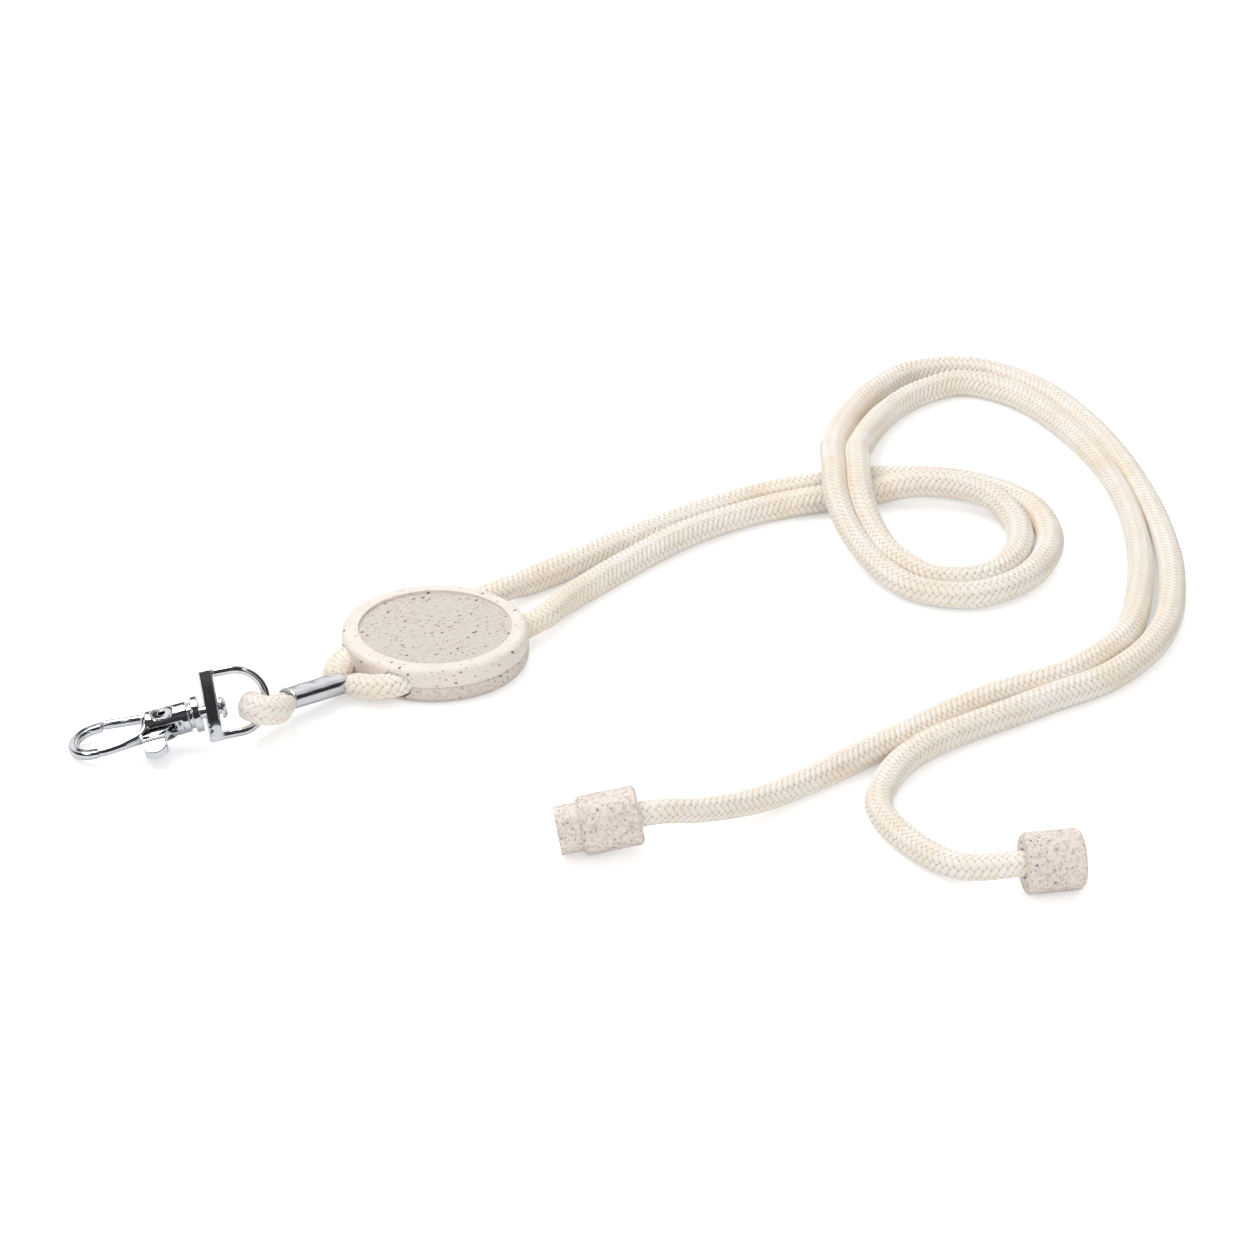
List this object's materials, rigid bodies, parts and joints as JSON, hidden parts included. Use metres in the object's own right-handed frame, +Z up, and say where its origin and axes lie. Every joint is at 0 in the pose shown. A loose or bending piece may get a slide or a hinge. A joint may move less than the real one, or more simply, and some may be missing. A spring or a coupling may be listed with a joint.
{
  "type": "lanyard",
  "caption": "Braided cord neck lanyard with a round slider, a crushed ferrule, a swivel spring hook and a two-part breakaway connector.",
  "frame": {"origin": "centre of the slider's flat underside, on the table", "axes": "+X along the slider's rope channels, away from the hook; +Z up; +Y towards the back strand"},
  "size_m": [0.2604, 0.177, 0.0151],
  "materials": {
    "speckled_plastic": "satin moulded plastic filled with straw fibre, pale beige with brown and grey specks",
    "chrome": "polished nickel chrome plate",
    "ferrule_metal": "bright crushed tube with a satin skin",
    "spring_steel": "bare spring wire",
    "cotton_braid": "undyed cotton, herringbone braid"
  },
  "bodies": {
    "cord": {"ferrule": "ferrule_metal", "cord_loop": "cotton_braid", "cord_front": "cotton_braid", "cord_back": "cotton_braid", "male_connector": "speckled_plastic", "male_end_stop": "ferrule_metal", "female_connector": "speckled_plastic", "female_end_stop": "ferrule_metal"},
    "slider": {"slider_base": "speckled_plastic", "slider_top": "speckled_plastic"},
    "ring": {"d_ring": "chrome"},
    "hook": {"hook_body": "chrome", "swivel_post": "chrome", "gate_rivet": "chrome", "gate_spring": "spring_steel"},
    "gate": {"gate_lever": "chrome"}
  },
  "joints": [
    {"name": "ring_swing", "type": "hinge", "parent": "cord", "child": "ring", "pos_m": [-0.0456, -0.0005, 0.0063], "axis": [0.5271, 0.1389, 0.8384], "range_deg": [0, 40]},
    {"name": "hook_swivel", "type": "hinge", "parent": "ring", "child": "hook", "pos_m": [-0.05426, 0.00513, 0.00736], "axis": [0.7997, -0.56, 0.2164], "continuous": true},
    {"name": "gate_pivot", "type": "hinge", "parent": "hook", "child": "gate", "pos_m": [-0.0622, 0.00996, 0.0053], "axis": [-0.1773, 0.1241, 0.9763], "range_deg": [0, 30], "stiffness_Nm_per_rad": 0.015, "springref_deg": -22.92},
    {"name": "slider_slide", "type": "slide", "parent": "cord", "child": "slider", "axis": [1, 0, 0], "range_m": [0, 0.006]}
  ]
}
